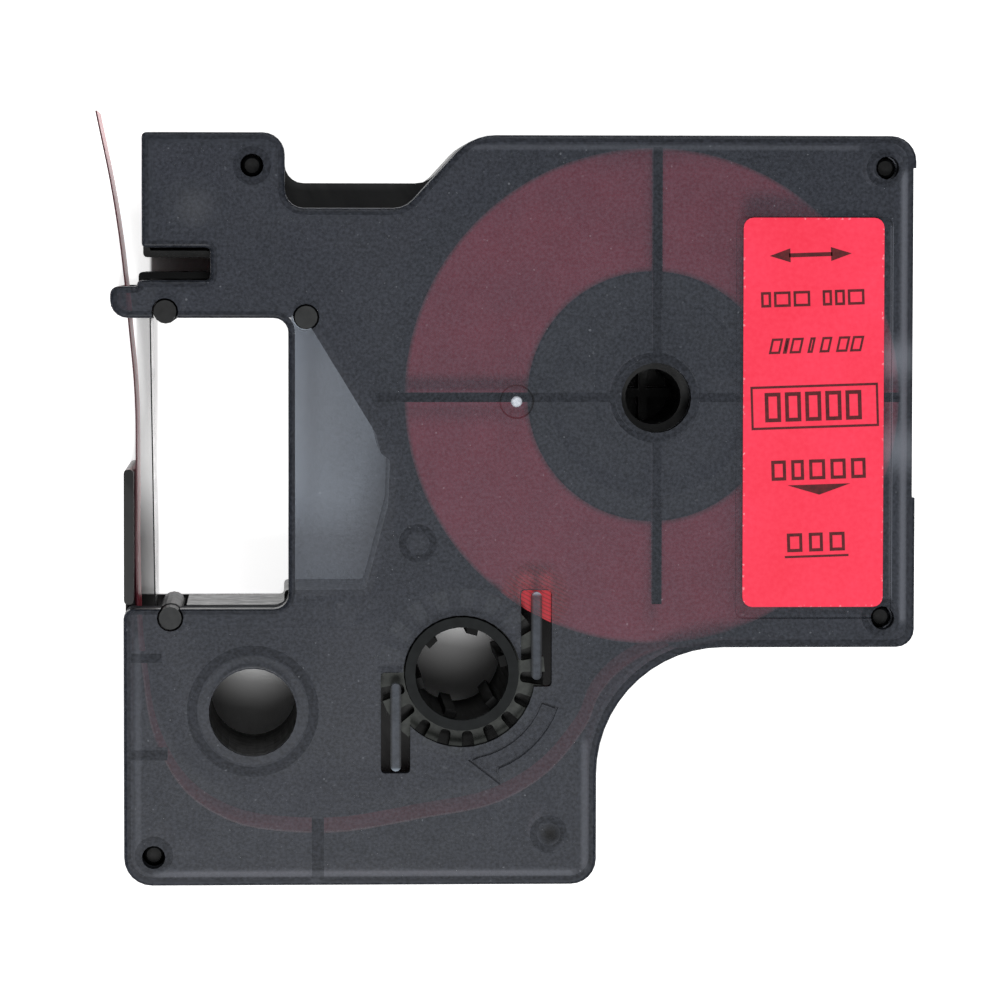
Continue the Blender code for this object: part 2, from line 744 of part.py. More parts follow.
def reverse_stop(name, x, y, way):
    """A sprung finger whose nib stands over the hub's teeth; its origin is the hinge at its root."""
    half = FINGER_WIDTH / 2
    length = FINGER_LENGTH
    outline = box_outline(-half, -half, half, length, half * 0.98)
    finger = add_object(name, plate_mesh([outline], COVER_SKIN, CASE_DEPTH - 0.1), (x, y))
    nib_foot = WHEEL_FOOT + WHEEL_THICKNESS + 0.1
    nib = boxes(f"{name}_nib", [(0, length - 0.75, nib_foot, COVER_SKIN + OVERLAP, 0.4, 0.7, 0)])
    nib.parent = finger
    add(finger, nib)
    if way < 0:
        finger.rotation_euler.z = math.pi
    return finger


# ---------------------------------------------------------------- assembly


def colour_parts():
    black = plain_material("rear_black", (0.012, 0.012, 0.013), 0.25)
    smoke = plain_material("cover_smoke", (0.09, 0.1, 0.12), 0.35, alpha=0.45)
    red = plain_material("tape_red", (0.62, 0.03, 0.06), 0.45)
    ink = plain_material("ink_film_black", (0.01, 0.01, 0.012), 0.2)
    grey = plain_material("post_grey", (0.05, 0.055, 0.055), 0.4)
    core = plain_material("core_grey", (0.03, 0.035, 0.04), 0.5)
    hub = plain_material("hub_black", (0.03, 0.03, 0.033), 0.35)
    clear = plain_material("finger_smoke", (0.25, 0.28, 0.32), 0.3, alpha=0.7)
    paper = plain_material("label_red", (0.95, 0.06, 0.12), 0.35)
    chosen = {
        "rear_shell": black,
        "front_cover": smoke,
        "info_label": paper,
        "tape_core": core,
        "tape_roll": red,
        "tape_web": red,
        "ink_film": ink,
        "spent_film_roll": ink,
        "takeup_hub": hub,
        "ratchet_wheel": hub,
        "left_reverse_stop": clear,
        "right_reverse_stop": clear,
    }
    for obj in case.objects:
        if obj.type == "MESH":
            obj.data.materials.clear()
            obj.data.materials.append(chosen.get(obj.name, grey))


def smooth_round_pieces():
    for obj in case.objects:
        if obj.type == "MESH":
            obj.data.shade_smooth()
            obj.data.set_sharp_from_angle(angle=math.radians(30))


def hang_on_corner():
    """Parents everything to the case's corner, placed so that the origin is under the middle."""
    corner = bpy.data.objects.new("case_corner", None)
    case.objects.link(corner)
    left = LEADER_TIP[0] - TAPE_THICKNESS / 2
    top = LEADER_TIP[1]
    corner.location = (-(left + CASE_RIGHT) / 2 * MM, -top / 2 * MM, 0)
    for obj in list(case.objects) + list(cutters.objects):
        if obj != corner and obj.parent is None:
            obj.parent = corner


clear_scene()
rear_shell()
front_cover()
info_label()
for post_name, post_place in POSTS.items():
    guide_post(post_name, post_place)
for pin_number, (pin_x, pin_y, pin_open) in enumerate(PINS, 1):
    joining_pin(pin_number, (pin_x, pin_y), pin_open)
tape_core()
tape_roll()
tape_web()
ink_film()
takeup_hub()
ratchet_wheel()
spent_film()
for finger_name, (finger_x, finger_y, finger_way) in FINGERS.items():
    reverse_stop(finger_name, finger_x, finger_y, finger_way)
colour_parts()
smooth_round_pieces()
hang_on_corner()
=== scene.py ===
import functools
import math

import bmesh
import bpy
from mathutils import Matrix, Vector


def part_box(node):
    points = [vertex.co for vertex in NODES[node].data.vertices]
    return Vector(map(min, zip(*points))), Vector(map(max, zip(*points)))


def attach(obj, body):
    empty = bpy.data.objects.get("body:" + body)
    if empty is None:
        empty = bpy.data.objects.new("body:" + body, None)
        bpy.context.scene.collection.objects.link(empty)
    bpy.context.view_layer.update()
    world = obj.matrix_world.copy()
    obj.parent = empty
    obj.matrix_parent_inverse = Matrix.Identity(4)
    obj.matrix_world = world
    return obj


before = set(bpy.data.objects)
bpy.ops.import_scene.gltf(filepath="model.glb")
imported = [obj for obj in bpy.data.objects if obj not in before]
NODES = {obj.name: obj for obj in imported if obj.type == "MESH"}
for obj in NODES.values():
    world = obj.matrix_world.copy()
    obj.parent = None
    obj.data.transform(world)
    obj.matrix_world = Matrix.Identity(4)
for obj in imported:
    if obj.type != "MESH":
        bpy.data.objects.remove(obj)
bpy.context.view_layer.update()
MM = 0.001

# ---------------------------------------------------------------- places taken from the frame

COVER_LOW, COVER_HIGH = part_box("front_cover")
LABEL_LOW, LABEL_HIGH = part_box("info_label")
ROLL_LOW, ROLL_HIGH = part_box("tape_roll")
SPOOL_CENTRE = (ROLL_LOW + ROLL_HIGH) / 2
HUB_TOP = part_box("takeup_hub")[1].z
WHEEL_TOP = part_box("ratchet_wheel")[1].z
FACE_Z = COVER_HIGH.z

CASE_WIDTH = 59.4
# The lower left corner of the case, which the CAD measures its sizes from
CASE_CORNER = Vector((COVER_HIGH.x - CASE_WIDTH * MM, COVER_LOW.y, 0))


def on_case(x, y, z=0.0):
    """A point given in millimetres from the case's lower left corner, in the row frame."""
    return CASE_CORNER + Vector((x, y, z)) * MM


# ---------------------------------------------------------------- sizes in millimetres, from that corner

# The cover's outer skin lets light through; whatever lies deeper is a rib, a boss or a wall and doesn't
SKIN = 1.4
COVER_ALPHA = 0.38
# How far below its face the cover's edge looks worn and carries a painted highlight
LIP_FOOT, LIP_HEAD = 0.4, 0.1
GATE = (29.45, 36.26)
BLIND_PIN = (32.05, 3.75)
# Painted shade in the mouths of the spool's hole and the hub's opening: place, end of their shade and full
# shade
BORE_MOUTHS = ((39.9, 36.55, 3.4, 3.2), (25.38, 15.85, 6.9, 6.6))
# Painted highlights where the face catches the light between the label and the rim: place and reach
HIGHLIGHT_SPOTS = ((58.2, 39.5, 2.3), (58.2, 32.7, 2.7))
# Painted highlight lines where the label's recess and the fillets inside the walls catch the light: middle,
# half sizes and strength
HIGHLIGHT_LINES = (
    ((57.62, 35.5), (0.1, 14.4), 0.75),
    ((58.5, 36.6), (0.38, 17.3), 0.62),
    ((18.0, 0.88), (16.2, 0.36), 0.42),
    ((34.6, 6.0), (0.4, 5.2), 0.35),
    ((40.5, 55.25), (15.0, 0.3), 0.22),
    ((1.15, 10.5), (0.35, 8.5), 0.2),
)

ROLL_REACH = 18.75
CORE_REACH = 9.35
# Spacing of the dark lines between the wound layers, which are looser where the right-hand slot shows them
LAYER_STEP = 0.27
LOOSE_LAYERS = (31.0, 21.2, 3.2, 1.8)

PLASTIC_GRAIN = 0.02 * MM
SOFT_EDGES = {
    "takeup_hub": 0.07,
    "tape_core": 0.1,
    "ratchet_wheel": 0.06,
    "left_reverse_stop": 0.1,
    "right_reverse_stop": 0.1,
}

# The print sits a little askew on its label, and hardly stands above it
PRINT_TURN = math.radians(1.9)
PRINT_LOW, PRINT_HIGH = 0.002, 0.02
# Radius and height over the face, from the vestige's foot to its broken-off crown
GATE_PROFILE = ((0.42, -0.24), (0.4, -0.12), (0.3, -0.03), (0.2, 0.0), (0.1, -0.03), (0.0, -0.04))

# Floor that the case shades, seen through its openings: left, bottom, right and top
CAVITY_FLOOR = (12.5, 5.0, 34.0, 44.0)
BORE_FLOOR = (2.0, 7.0, 18.0, 19.0)
SENSOR_FLOOR = (1.6, 44.4, 11.0, 53.5)
TAPE_FLOOR = (0.45, 19.5, 2.45, 44.0)
SHADE_EDGE = 0.3
# Faint light that still gets there: x, y, reach and strength
FLOOR_POOLS = (
    (9.73, 16.4, 5.2, 0.2),
    (25.0, 18.6, 5.2, 0.15),
    (14.0, 36.0, 9.0, 0.1),
    (16.0, 27.0, 10.0, 0.08),
    (5.2, 50.85, 2.6, 0.05),
)
# Beside the tape the floor gets lighter between these heights
TAPE_LIGHT_FOOT, TAPE_LIGHT_HEAD = 25.0, 32.0
# Painted bluish light on the cavity's floor, within this place and reach
BLUE_LIGHT_FLOOR = (16.0, 31.0, 13.5, 11.0)

# Where the camera stands and looks, its height over the face, the width of face it takes in, and its roll
EYE = (11.325, 47.665)
AIM = (28.205, 28.915)
STAND = 370.0
VIEW_WIDTH = 74.78
SENSOR_WIDTH = 36
CAMERA_ROLL = math.radians(0.08)

# Place and size in metres, and power in watts
SOFTBOXES = {
    "key": ((-0.03, -0.25, 0.65), 0.16, 2.9),
    "fill": ((0.06, 0.32, 0.62), 0.22, 1.6),
}


# ---------------------------------------------------------------- node helpers


def srgb(*levels):
    """A linear colour from display values of 0 to 255: red, green and blue."""
    return tuple(((c / 255 + 0.055) / 1.055) ** 2.4 if c > 10 else c / 255 / 12.92 for c in levels)


class Surface:
    """One Principled material and the nodes that feed it."""

    def __init__(self, name, colour, roughness=0.4, **sockets):
        self.material = bpy.data.materials.new(name)
        self.material.use_nodes = True
        self.tree = self.material.node_tree
        self.shader = self.tree.nodes["Principled BSDF"]
        self.shader.inputs["Base Color"].default_value = (*colour, 1)
        self.shader.inputs["Roughness"].default_value = roughness
        for socket, value in sockets.items():
            self.shader.inputs[socket.replace("_", " ")].default_value = value

    def node(self, kind, **settings):
        made = self.tree.nodes.new(kind)
        for key, value in settings.items():
            if key in made.inputs:
                made.inputs[key].default_value = value
            else:
                setattr(made, key, value)
        return made

    def link(self, source, target):
        self.tree.links.new(source, target)

    def feed(self, socket, output):
        self.link(output, self.shader.inputs[socket])

    def bump(self, height, strength, depth=PLASTIC_GRAIN):
        bump = self.node("ShaderNodeBump", Strength=strength, Distance=depth)
        self.link(height, bump.inputs["Height"])
        self.feed("Normal", bump.outputs["Normal"])

    def position(self, scale=(1, 1, 1), offset=(0, 0, 0), angle=0.0):
        """Object coordinates, which are the row frame's, scaled and moved."""
        coordinates = self.node("ShaderNodeTexCoord")
        mapping = self.node("ShaderNodeMapping")
        mapping.vector_type = "TEXTURE"
        mapping.inputs["Location"].default_value = offset
        mapping.inputs["Rotation"].default_value = (0, 0, angle)
        mapping.inputs["Scale"].default_value = scale
        self.link(coordinates.outputs["Object"], mapping.inputs["Vector"])
        return mapping.outputs["Vector"]

    def axes(self, vector):
        """The outputs X, Y and Z of a vector."""
        split = self.node("ShaderNodeSeparateXYZ")
        self.link(vector, split.inputs[0])
        return split.outputs

    def facing(self):
        """The outputs X, Y and Z of the direction that the flat face looks in."""
        return self.axes(self.node("ShaderNodeNewGeometry").outputs["True Normal"])

    def noise(self, size, detail=3.0, vector=None, roughness=0.55):
        """Noise whose features are about size metres across."""
        noise = self.node("ShaderNodeTexNoise", Scale=1 / size, Detail=detail, Roughness=roughness)
        self.link(vector or self.position(), noise.inputs["Vector"])
        return noise.outputs["Fac"]

    def ramp(self, factor, *stops):
        """A colour ramp: stops are (place, colour or number)."""
        ramp = self.node("ShaderNodeValToRGB")
        elements = ramp.color_ramp.elements
        while len(elements) < len(stops):
            elements.new(0.5)
        for element, (place, value) in zip(elements, stops):
            element.position = place
            element.color = (*value, 1) if isinstance(value, tuple) else (value, value, value, 1)
        self.link(factor, ramp.inputs["Fac"])
        return ramp.outputs["Color"]

    def mottle(self, size, detail, first, second, start=0.3, end=0.7):
        """Noise that runs from the first colour or number to the second."""
        return self.ramp(self.noise(size, detail), (start, first), (end, second))

    def mix(self, factor, first, second, blend="MIX"):
        mix = self.node("ShaderNodeMix", data_type="RGBA", blend_type=blend)
        for socket, value in ((0, factor), (6, first), (7, second)):
            if isinstance(value, bpy.types.NodeSocket):
                self.link(value, mix.inputs[socket])
            elif socket == 0:
                mix.inputs[0].default_value = value
            else:
                mix.inputs[socket].default_value = (*value, 1)
        return mix.outputs[2]

    def math(self, operation, first, second=0.0):
        made = self.node("ShaderNodeMath", operation=operation)
        for socket, value in zip(made.inputs, (first, second)):
            if isinstance(value, bpy.types.NodeSocket):
                self.link(value, socket)
            else:
                socket.default_value = value
        return made.outputs[0]

    def times(self, *values):
        """The product of two or more values, also the place where all of their areas overlap."""
        return functools.reduce(functools.partial(self.math, "MULTIPLY"), values)

    def either(self, *values):
        """The largest of two or more values, also all of their areas together."""
        return functools.reduce(functools.partial(self.math, "MAXIMUM"), values)

    def without(self, value):
        """1 where the value is 0, and 0 where it is 1."""
        return self.math("SUBTRACT", 1.0, value)

    def smooth_step(self, value, start, end):
        """0 at start and 1 at end, and soft in between; start may be the larger one."""
        step = self.node("ShaderNodeMapRange")
        step.interpolation_type = "SMOOTHSTEP"
        step.inputs["From Min"].default_value = start
        step.inputs["From Max"].default_value = end
        self.link(value, step.inputs["Value"])
        return step.outputs["Result"]

    def radius_from(self, centre):
        """Distance in the plane from an upright axis, in metres."""
        place = self.axes(self.position(offset=(centre.x, centre.y, 0)))
        across, along = (self.times(place[axis], place[axis]) for axis in "XY")
        return self.math("SQRT", self.math("ADD", across, along))

    def spot(self, x, y, reach, full=0.0):
        """1 up to the radius full round a point on the case and 0 from reach on, in millimetres."""
        return self.smooth_step(self.radius_from(on_case(x, y)), reach * MM, full * MM)

    def soft_line(self, middle, half_sizes):
        """1 along an upright or level line, fading out over its half width and at its ends (millimetres)."""
        place = self.axes(self.position(offset=on_case(*middle)))
        fades = []
        for axis, half in zip("XY", half_sizes):
            distance = self.math("ABSOLUTE", place[axis])
            fades.append(self.smooth_step(distance, half * MM, max(half - 0.8, half * 0.2) * MM))
        return self.times(*fades)


# ---------------------------------------------------------------- the front cover's material


def cover_surface():
    """Smoke-tinted translucent plastic with a fine spark-eroded grain.

    Thick places, such as walls, ribs and bosses, let hardly any light through, so they are solid.
    """
    surface = Surface("cover_smoke", srgb(58, 62, 70), 0.36, IOR=1.45, Specular_IOR_Level=0.33)
    place, facing = surface.axes(surface.position()), surface.facing()
    grain = surface.noise(0.24 * MM, 2)
    surface.bump(grain, 0.35)
    blind_pin = surface.times(surface.spot(*BLIND_PIN, 1.1), 0.9)
    under_skin = surface.math("LESS_THAN", place["Z"], FACE_Z - SKIN * MM)
    upright = surface.math("LESS_THAN", surface.math("ABSOLUTE", facing["Z"]), 0.6)

    level = surface.mix(under_skin, cover_face(surface, grain, blind_pin), srgb(20, 22, 26))
    surface.feed("Base Color", surface.mix(upright, level, cover_sides(surface, place, facing, under_skin)))
    satin = surface.mottle(1.5 * MM, 3, 0.32, 0.44, start=0.2, end=0.8)
    surface.feed("Roughness", surface.either(satin, surface.times(under_skin, 0.95)))
    clear = surface.math("ADD", surface.times(blind_pin, 0.3), 1 - COVER_ALPHA)
    thin = surface.without(surface.either(under_skin, upright))
    surface.feed("Alpha", surface.without(surface.times(thin, clear)))
    return surface.material


def cover_face(surface, grain, blind_pin):
    """The face's colour: cloudy grain, painted highlights, the pin under it, the gate's ring, dust and
    painted highlight lines.
    """
    cloud = surface.mottle(7 * MM, 4, srgb(50, 55, 64), srgb(62, 66, 77))
    grains = surface.ramp(grain, (0.36, srgb(26, 31, 39)), (0.64, srgb(86, 91, 103)))
    face = surface.mix(0.5, cloud, grains)
    # Painted highlights where the face catches the light between the label and the rim
    painted_highlight = surface.either(*[surface.spot(*spot) for spot in HIGHLIGHT_SPOTS])
    face = surface.mix(surface.times(painted_highlight, 0.55), face, srgb(168, 174, 186))
    face = surface.mix(blind_pin, face, srgb(6, 7, 9))
    from_gate = surface.radius_from(on_case(*GATE))
    ring_inside = surface.smooth_step(from_gate, 1.12 * MM, 1.22 * MM)
    ring_outside = surface.smooth_step(from_gate, 1.34 * MM, 1.24 * MM)
    face = surface.mix(surface.times(ring_inside, 0.8, ring_outside), face, srgb(12, 12, 15))
    dust = surface.ramp(surface.noise(0.32 * MM, 1, roughness=0.2), (0.79, 0.0), (0.82, 1.0))
    face = surface.mix(dust, face, srgb(132, 136, 144))
    # Painted highlight lines where edges and fillets catch the light
    for middle, half_sizes, strength in HIGHLIGHT_LINES:
        line = surface.times(surface.soft_line(middle, half_sizes), strength)
        face = surface.mix(line, face, srgb(140, 144, 155))
    return face


def cover_sides(surface, place, facing, under_skin):
    """The upright faces' colour: dark, with a worn, scratched lip that also carries a painted highlight,
    painted shade in the bore mouths, and painted highlights on the fillets of two walls.
    """
    scratched = surface.mottle(0.6 * MM, 4, srgb(50, 53, 60), srgb(98, 102, 110), start=0.45, end=0.75)
    lip = surface.smooth_step(place["Z"], FACE_Z - LIP_FOOT * MM, FACE_Z - LIP_HEAD * MM)
    # Worn, scratched lip that also carries a painted highlight along the cover's edge
    worn = surface.mix(lip, srgb(36, 39, 45), scratched)
    # Painted shade on the walls inside the bore mouths
    painted_bore_shade = surface.either(*[surface.spot(*mouth) for mouth in BORE_MOUTHS])
    side = surface.mix(painted_bore_shade, worn, srgb(20, 21, 24))
    # Painted highlights on the fillets inside two walls, seen through the skin
    fillets = surface.times(inner_walls(surface, place, facing), under_skin)
    return surface.mix(fillets, side, srgb(150, 154, 164))


def inner_walls(surface, place, facing):
    """1 on the insides of the right and lower walls, where painted highlights on the fillets show through
    the skin.
    """
    looks_left = surface.math("LESS_THAN", facing["X"], -0.35)
    at_right = surface.math("GREATER_THAN", place["X"], on_case(30, 0).x)
    looks_up = surface.math("GREATER_THAN", facing["Y"], 0.35)
    at_foot = surface.math("LESS_THAN", place["Y"], on_case(0, 1.2).y)
    return surface.either(surface.times(looks_left, at_right), surface.times(looks_up, at_foot))


# ---------------------------------------------------------------- the other materials


def rear_surface():
    """Glossy black moulded plastic, with faint flow marks and fine scuffs."""
    surface = Surface("rear_black", srgb(20, 21, 22), 0.2, IOR=1.45, Specular_IOR_Level=0.28)
    surface.feed("Base Color", surface.mottle(9 * MM, 5, srgb(15, 16, 17), srgb(25, 26, 27)))
    scuffs = surface.noise(1.0 * MM, 4, surface.position(scale=(1, 6, 1), angle=0.5))
    surface.feed("Roughness", surface.ramp(scuffs, (0.35, 0.28), (0.75, 0.46)))
    surface.bump(surface.noise(0.4 * MM, 3), 0.12)
    return surface.material


def roll_surface():
    """Wound red tape with the black film's dark lines between its layers, and painted shade at its outer
    edge and by its core.
    """
    surface = Surface("tape_roll_layers", srgb(205, 46, 72), 0.42, IOR=1.46)
    radius = surface.radius_from(SPOOL_CENTRE)
    wander = surface.times(surface.noise(5 * MM, 2), 0.5 * MM)
    turns = surface.math("DIVIDE", surface.math("ADD", radius, wander), LAYER_STEP * MM)
    layer = surface.math("FRACT", turns)
    lines = surface.ramp(layer, (0.0, 1.0), (0.5, 1.0), (0.75, 0.2), (1.0, 1.0))
    loose = surface.spot(*LOOSE_LAYERS)
    wound = surface.mottle(4 * MM, 3, srgb(192, 52, 86), srgb(212, 64, 98))
    tone = surface.mix(loose, wound, srgb(214, 18, 44))
    strength = surface.math("ADD", surface.times(loose, 0.65), 0.1)
    lined = surface.mix(strength, tone, lines, "MULTIPLY")
    # Painted shade that darkens the roll towards its outer edge and towards its core
    outer = surface.smooth_step(radius, (ROLL_REACH - 0.4) * MM, (ROLL_REACH + 0.15) * MM)
    inner = surface.smooth_step(radius, (CORE_REACH + 0.6) * MM, (CORE_REACH - 0.2) * MM)
    painted_rim_shade = surface.times(surface.either(outer, inner), surface.without(loose))
    surface.feed("Base Color", surface.mix(painted_rim_shade, lined, srgb(34, 26, 32)))
    surface.bump(layer, 0.3)
    return surface.material


def tape_surface():
    """Laminated red tape: a satin face with a faint painted glow that lifts it inside the case, and a dark
    cut edge.
    """
    surface = Surface("tape_red", srgb(214, 40, 62), 0.3, IOR=1.5, Coat_Weight=0.1, Coat_Roughness=0.15)
    # Painted glow: a faint red emission, though the tape gives no light
    surface.shader.inputs["Emission Color"].default_value = (0.9, 0.1, 0.18, 1)
    surface.shader.inputs["Emission Strength"].default_value = 0.04
    drift = surface.noise(3 * MM, 3, surface.position(scale=(1, 1, 4)))
    face = surface.ramp(drift, (0.3, srgb(186, 16, 38)), (0.7, srgb(206, 32, 54)))
    edge = surface.math("GREATER_THAN", surface.math("ABSOLUTE", surface.facing()["Z"]), 0.7)
    surface.feed("Base Color", surface.mix(edge, face, srgb(44, 18, 24)))
    surface.bump(surface.noise(0.8 * MM, 2), 0.1)
    return surface.material


def film_surface(name, sheen):
    """Ink film: a thin glossy dark sheet with stretched, streaky gloss."""
    surface = Surface(name, srgb(26, 26, 29), sheen, IOR=1.5)
    streaks = surface.noise(1.2 * MM, 3, surface.position(scale=(1, 1, 9)))
    surface.feed("Base Color", surface.ramp(streaks, (0.3, srgb(20, 20, 23)), (0.75, srgb(44, 44, 48))))
    surface.feed("Roughness", surface.ramp(streaks, (0.3, sheen), (0.8, sheen + 0.15)))
    return surface.material


def moulded_surface(name, dark, light, roughness):
    """Plain moulded plastic with mottling, a satin grain and uneven gloss."""
    surface = Surface(name, light, roughness, IOR=1.48, Specular_IOR_Level=0.25)
    surface.feed("Base Color", surface.mottle(0.9 * MM, 5, dark, light))
    gloss = surface.mottle(0.5 * MM, 2, roughness - 0.08, roughness + 0.1, start=0.2, end=0.8)
    surface.feed("Roughness", gloss)
    surface.bump(surface.noise(0.12 * MM, 2), 0.2)
    return surface.material


def wheel_surface():
    """The ratchet wheel's greenish grey plastic, with painted shade in its gaps."""
    surface = Surface("hub_wheel", srgb(58, 61, 58), 0.5, IOR=1.46, Specular_IOR_Level=0.25)
    tops = surface.mottle(0.5 * MM, 4, srgb(40, 43, 41), srgb(60, 63, 60))
    height = surface.axes(surface.position())["Z"]
    # Painted shade that darkens the wheel below the tops of its teeth
    painted_depth_shade = surface.smooth_step(height, WHEEL_TOP - 0.1 * MM, WHEEL_TOP - 0.9 * MM)
    surface.feed("Base Color", surface.mix(painted_depth_shade, tops, srgb(10, 11, 11)))
    surface.bump(surface.noise(0.15 * MM, 2), 0.2)
    return surface.material


def hub_surface():
    """The hub's black plastic, with painted shade that darkens it down its bore."""
    surface = Surface("hub_black", srgb(26, 30, 31), 0.55, IOR=1.48, Specular_IOR_Level=0.12)
    tops = surface.mottle(0.9 * MM, 5, srgb(10, 13, 14), srgb(22, 25, 26))
    height = surface.axes(surface.position())["Z"]
    # Painted shade that darkens the hub below its top ring
    painted_depth_shade = surface.smooth_step(height, HUB_TOP - 0.3 * MM, HUB_TOP - 1.6 * MM)
    surface.feed("Base Color", surface.mix(painted_depth_shade, tops, srgb(7, 8, 8)))
    surface.bump(surface.noise(0.12 * MM, 2), 0.2)
    return surface.material


def finger_surface(name, root_side):
    """The cover's smoke plastic where it is thin: clearer, with painted shade on its flanks and a painted
    highlight at its root.

    The root is at the finger's upper end for a root_side of 1, and at its lower end for -1.
    """
    low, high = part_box(name)
    half_width, half_length = (high.x - low.x) / 2, (high.y - low.y) / 2
    surface = Surface(name, srgb(56, 60, 68), 0.3, Alpha=0.52, IOR=1.45, Specular_IOR_Level=0.3)
    flat = surface.mottle(0.6 * MM, 4, srgb(58, 63, 71), srgb(84, 90, 100))
    place = surface.axes(surface.position(offset=(low + high) / 2))
    across = surface.math("ABSOLUTE", place["X"])
    # Painted shade along the finger's long sides
    painted_flank_shade = surface.smooth_step(across, half_width - 0.22 * MM, half_width - 0.04 * MM)
    shaded = surface.mix(painted_flank_shade, flat, srgb(30, 33, 38))
    end = half_length * root_side
    # Painted highlight at the finger's root
    root = surface.smooth_step(place["Y"], end * 0.9, end)
    surface.feed("Base Color", surface.mix(root, shaded, srgb(176, 190, 204)))
    surface.bump(surface.noise(0.2 * MM, 2), 0.2)
    return surface.material


def label_surface():
    """Coated paper printed in one flat red, with faint fibre and a slightly worn edge."""
    surface = Surface("label_red", srgb(248, 42, 68), 0.45, IOR=1.45, Specular_IOR_Level=0.25)
    fibre = surface.noise(0.35 * MM, 5)
    tone = surface.mottle(8 * MM, 3, srgb(244, 40, 70), srgb(251, 52, 84))
    fibres = surface.ramp(fibre, (0.3, srgb(222, 36, 62)), (0.7, srgb(255, 96, 118)))
    paper = surface.mix(0.14, tone, fibres)
    place = surface.axes(surface.position())
    inset = 0.15 * MM
    edge = surface.either(
        surface.math("LESS_THAN", place["X"], LABEL_LOW.x + inset),
        surface.math("GREATER_THAN", place["X"], LABEL_HIGH.x - inset),
        surface.math("LESS_THAN", place["Y"], LABEL_LOW.y + inset),
        surface.math("GREATER_THAN", place["Y"], LABEL_HIGH.y - inset),
    )
    flecks = surface.mottle(0.35 * MM, 2, 0.0, 0.6, start=0.58, end=0.72)
    surface.feed("Base Color", surface.mix(surface.times(edge, flecks), paper, srgb(255, 190, 198)))
    surface.bump(fibre, 0.15, 0.015 * MM)
    return surface.material


def ink_surface():
    """Dark red print, a little uneven as ink on coated paper is."""
    surface = Surface("label_print", srgb(80, 14, 18), 0.5, Specular_IOR_Level=0.2)
    surface.feed("Base Color", surface.mottle(0.3 * MM, 4, srgb(66, 10, 14), srgb(98, 20, 26)))
    return surface.material


def vestige_surface():
    """The stressed, whitened plastic where the gate was broken off."""
    surface = Surface("gate_white", srgb(245, 246, 248), 0.5)
    surface.feed("Base Color", surface.mottle(0.2 * MM, 3, srgb(170, 176, 186), srgb(214, 219, 227)))
    return surface.material


def floor_surface():
    """White with a little light of its own, which the case shades where it covers the floor."""
    surface = Surface("floor_white", (0.9, 0.9, 0.9), 0.85)
    surface.shader.inputs["Emission Color"].default_value = (1, 1, 1, 1)
    place = surface.axes(surface.position())
    cavity = floor_box(surface, place, *CAVITY_FLOOR)
    beside_tape = floor_box(surface, place, *TAPE_FLOOR)
    others = [floor_box(surface, place, *box) for box in (BORE_FLOOR, SENSOR_FLOOR)]
    bare = [surface.without(shade) for shade in (cavity, *others, beside_tape)]
    glow = surface.times(*bare, 0.75)
    for x, y, reach, strength in FLOOR_POOLS:
        glow = surface.math("ADD", glow, surface.times(surface.spot(x, y, reach), strength))
    rise = surface.smooth_step(place["Y"], on_case(0, TAPE_LIGHT_FOOT).y, on_case(0, TAPE_LIGHT_HEAD).y)
    surface.feed("Emission Strength", surface.math("ADD", glow, surface.times(rise, beside_tape, 0.25)))
    blues = surface.mottle(2 * MM, 2, (0.72, 0.84, 1.0), (0.76, 0.86, 1.0), start=0.0, end=1.0)
    # Painted bluish light on the floor under the cavity
    painted_blue_light = surface.times(surface.spot(*BLUE_LIGHT_FLOOR), cavity)
    surface.feed("Base Color", surface.mix(painted_blue_light, (0.9, 0.9, 0.9), blues))
    return surface.material


def floor_box(surface, place, left, bottom, right, top):
    """1 on a box of floor, with soft sides."""
    low, high = on_case(left, bottom), on_case(right, top)
    soft = SHADE_EDGE * MM
    return surface.times(
        surface.smooth_step(place["X"], low.x, low.x + soft),
        surface.smooth_step(place["X"], high.x, high.x - soft),
        surface.smooth_step(place["Y"], low.y, low.y + soft),
        surface.smooth_step(place["Y"], high.y, high.y - soft),
    )


# ---------------------------------------------------------------- finishes of the CAD nodes


def dress_nodes():
    """Gives every CAD node its finish, and softens the moulded edges."""
    post = moulded_surface("post_grey", srgb(18, 20, 21), srgb(34, 36, 37), 0.45)
    pin = moulded_surface("pin_black", srgb(3, 4, 5), srgb(8, 9, 11), 0.6)
    finishes = {
        "front_cover": cover_surface(),
        "rear_shell": rear_surface(),
        "info_label": label_surface(),
        "tape_core": moulded_surface("core_grey", srgb(18, 21, 22), srgb(28, 32, 34), 0.5),
        "tape_roll": roll_surface(),
        "tape_web": tape_surface(),
        "ink_film": film_surface("ink_film_black", 0.12),
        "spent_film_roll": film_surface("spent_film_black", 0.25),
        "takeup_hub": hub_surface(),
        "ratchet_wheel": wheel_surface(),
        "left_reverse_stop": finger_surface("left_reverse_stop", -1),
        "right_reverse_stop": finger_surface("right_reverse_stop", 1),
        # The same post plastic, darkened with painted shade for the upper outer post
        "upper_outer_guide_post": moulded_surface("post_painted_shade", srgb(5, 6, 7), srgb(13, 15, 16), 0.5),
    }
    for name, node in NODES.items():
        node.data.materials.clear()
        node.data.materials.append(finishes.get(name, pin if name.startswith("joining_pin") else post))
    for name, width in SOFT_EDGES.items():
        round_edges(NODES[name], width * MM)


def round_edges(node, width):
    weld = node.modifiers.new("weld", "WELD")
    weld.merge_threshold = 1e-6
    bevel = node.modifiers.new("soft edges", "BEVEL")
    bevel.width = width
    bevel.segments = 2
    bevel.limit_method = "ANGLE"
    bevel.angle_limit = math.radians(40)
    bevel.use_clamp_overlap = True
    bevel.harden_normals = True


# ---------------------------------------------------------------- printed label


